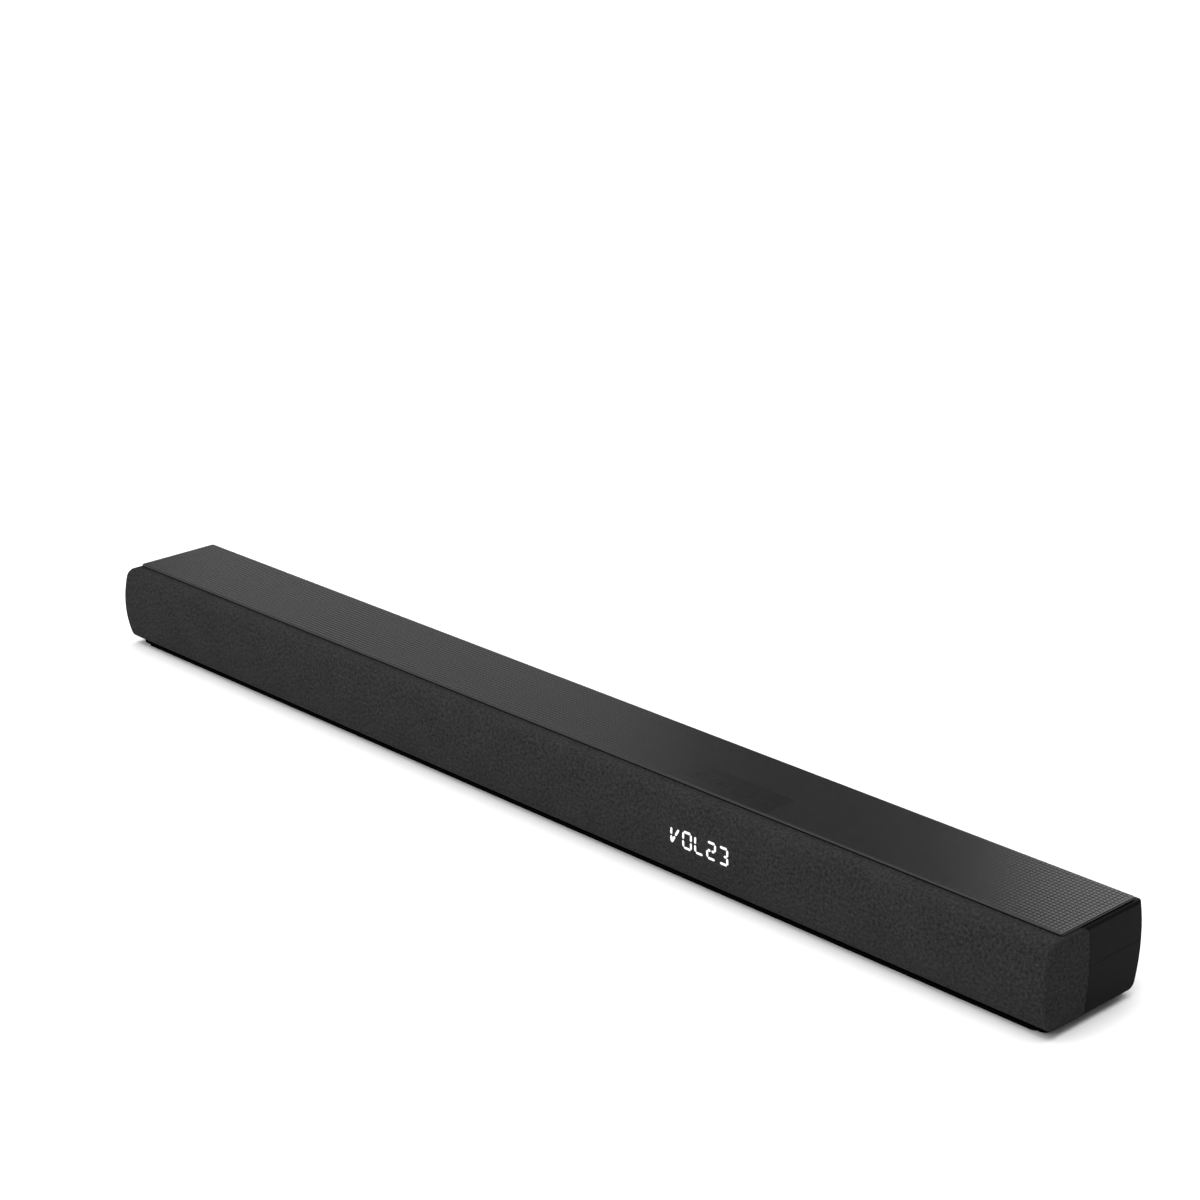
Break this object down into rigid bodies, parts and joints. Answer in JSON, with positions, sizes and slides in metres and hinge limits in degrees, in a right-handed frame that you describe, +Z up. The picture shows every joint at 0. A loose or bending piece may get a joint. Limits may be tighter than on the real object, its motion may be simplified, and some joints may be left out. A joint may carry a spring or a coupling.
{
  "type": "soundbar",
  "caption": "Long cloth-fronted soundbar with a waffle-grained top plate, touch-sized keys, a figure read-out behind the cloth and a rear socket recess.",
  "frame": {"origin": "centre of the footprint, on the surface the feet stand on", "axes": "+X along the bar to the right end seen from the listener, -Y towards the listener, +Z up"},
  "size_m": [0.95, 0.0951, 0.0665],
  "materials": {
    "cloth": "fine woven charcoal",
    "cover_plastic": "fine waffle grain",
    "key_plastic": "smooth matte",
    "housing_plastic": "satin black",
    "base_plastic": "matte black",
    "inner_plastic": "moulded black",
    "rubber": "matte",
    "circuit_board": "solder mask",
    "board_part": "moulded",
    "capacitor": "sleeved",
    "copper": "enamelled winding",
    "steel": "plated",
    "dark_steel": "black zinc",
    "alu": "extruded",
    "ferrite": "sintered",
    "paper": "pressed pulp",
    "foam": "open-cell foam",
    "spider_cloth": "resin-dipped cloth",
    "lamp": "lit white",
    "smoked": "smoked",
    "brass": "turned",
    "wire": "PVC sleeved"
  },
  "bodies": {
    "bar": {"grille_cloth": "cloth", "grille_frame": "inner_plastic", "upper_housing": "housing_plastic", "lower_housing": "housing_plastic", "top_cover": "cover_plastic", "base_plate": "base_plastic", "rubber_feet": "rubber", "front_baffle": "inner_plastic", "driver_baskets": "dark_steel", "driver_gaskets": "rubber", "driver_top_plates": "steel", "driver_magnets": "ferrite", "driver_yokes": "steel", "driver_screws": "dark_steel", "chamber_bulkheads": "inner_plastic", "damping_foam": "foam", "display_board": "circuit_board", "display_window": "smoked", "display_digits": "lamp", "ir_receiver": "smoked", "button_board": "circuit_board", "tact_switches": "board_part", "main_board": "circuit_board", "amp_heatsink": "alu", "output_inductors": "board_part", "power_board": "circuit_board", "mains_transformer": "copper", "board_capacitors": "capacitor", "connector_bay": "housing_plastic", "ac_inlet": "board_part", "inlet_pins": "steel", "hdmi_socket": "steel", "usb_socket": "steel", "optical_socket": "board_part", "aux_jack": "board_part", "wall_inserts": "brass", "housing_screws": "dark_steel", "baffle_screws": "dark_steel", "board_screws": "steel", "speaker_leads": "wire", "mains_leads": "wire", "surround_left": "rubber", "spider_left": "spider_cloth", "surround_right": "rubber", "spider_right": "spider_cloth"},
    "left_cone": {"cone_left": "paper", "dust_cap_left": "paper", "voice_coil_left": "copper"},
    "right_cone": {"cone_right": "paper", "dust_cap_right": "paper", "voice_coil_right": "copper"},
    "shutter": {"optical_shutter": "board_part"},
    "power_key": {"key_power": "key_plastic", "plunger_power": "board_part"},
    "source_key": {"key_source": "key_plastic", "plunger_source": "board_part"},
    "minus_key": {"key_minus": "key_plastic", "plunger_minus": "board_part"},
    "plus_key": {"key_plus": "key_plastic", "plunger_plus": "board_part"}
  },
  "joints": [
    {"name": "left_cone_stroke", "type": "slide", "parent": "bar", "child": "left_cone", "axis": [0, -1, 0], "range_m": [-0.002, 0.002], "stiffness_N_per_m": 1500, "deforming": ["surround_left", "spider_left"]},
    {"name": "right_cone_stroke", "type": "slide", "parent": "bar", "child": "right_cone", "axis": [0, -1, 0], "range_m": [-0.002, 0.002], "stiffness_N_per_m": 1500, "deforming": ["surround_right", "spider_right"]},
    {"name": "power_key_press", "type": "slide", "parent": "bar", "child": "power_key", "axis": [0, 0, -1], "range_m": [0, 0.0004], "stiffness_N_per_m": 4000},
    {"name": "source_key_press", "type": "slide", "parent": "bar", "child": "source_key", "axis": [0, 0, -1], "range_m": [0, 0.0004], "stiffness_N_per_m": 4000},
    {"name": "minus_key_press", "type": "slide", "parent": "bar", "child": "minus_key", "axis": [0, 0, -1], "range_m": [0, 0.0004], "stiffness_N_per_m": 4000},
    {"name": "plus_key_press", "type": "slide", "parent": "bar", "child": "plus_key", "axis": [0, 0, -1], "range_m": [0, 0.0004], "stiffness_N_per_m": 4000},
    {"name": "shutter_hinge", "type": "hinge", "parent": "bar", "child": "shutter", "pos_m": [0.022, 0.027, 0.0365], "axis": [-1, 0, 0], "range_deg": [0, 80], "stiffness_Nm_per_rad": 0.0005}
  ]
}
